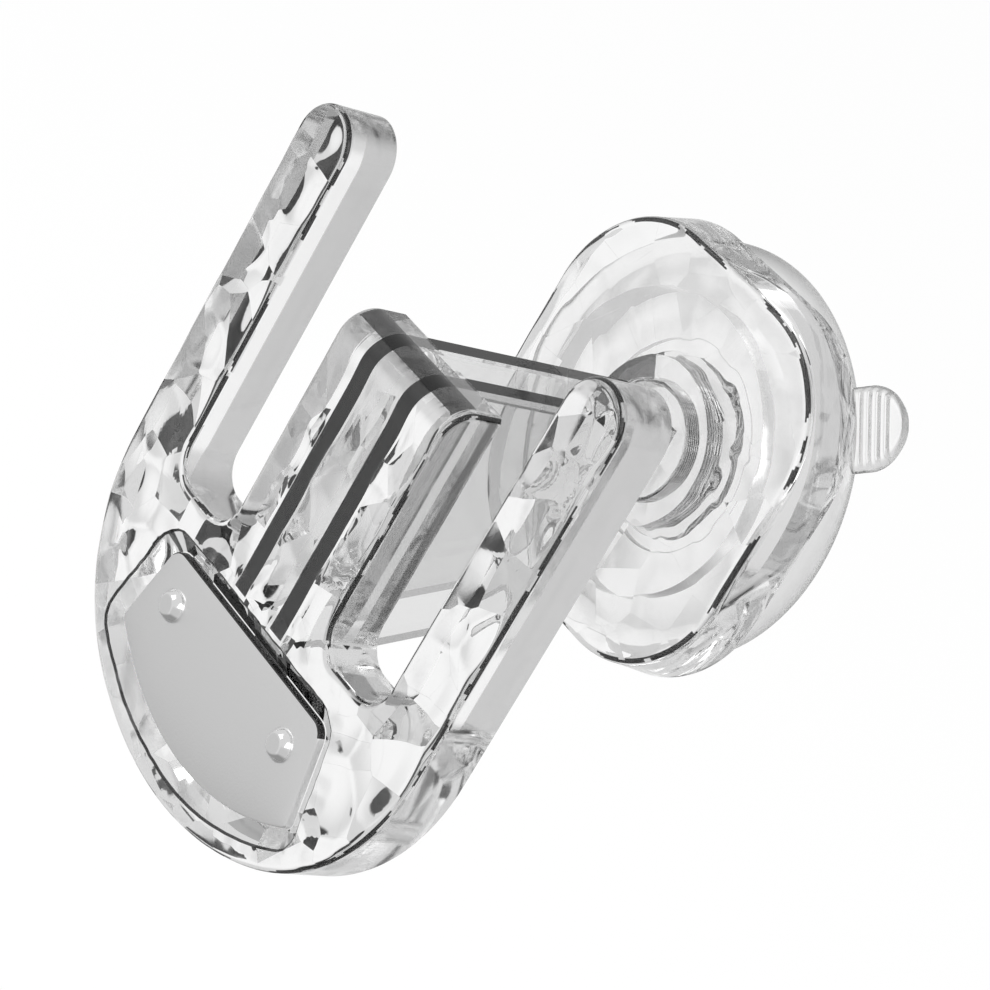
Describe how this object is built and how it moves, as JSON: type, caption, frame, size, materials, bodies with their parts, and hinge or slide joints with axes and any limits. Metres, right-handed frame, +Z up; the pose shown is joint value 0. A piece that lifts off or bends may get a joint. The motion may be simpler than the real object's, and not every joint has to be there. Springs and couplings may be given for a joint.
{
  "type": "suction cup wall hook",
  "caption": "Clear double-prong wall hook with a rippled face, a braced arm, a grey badge, a rounded-square screw cover and a suction cup.",
  "frame": {"origin": "middle of the suction cup's wall side, in the plane of the wall", "axes": "+Z up, +X to the right seen from the room, +Y into the wall, so that the hook stands out along -Y"},
  "size_m": [0.0778, 0.0608, 0.0975],
  "materials": {
    "clear_acrylic": "clear, polished sides and hammered front",
    "smoked_acrylic": "smoked clear, polished",
    "satin_metal": "satin",
    "bright_metal": "bright",
    "soft_vinyl": "clear, soft and glossy"
  },
  "bodies": {
    "root": {"hook_body": "clear_acrylic", "rib_left": "smoked_acrylic", "rib_right": "smoked_acrylic", "name_plate": "satin_metal", "rivet_left": "bright_metal", "rivet_right": "bright_metal", "base_cover": "clear_acrylic", "clamp_stud": "clear_acrylic", "suction_cup": "soft_vinyl"}
  },
  "joints": []
}
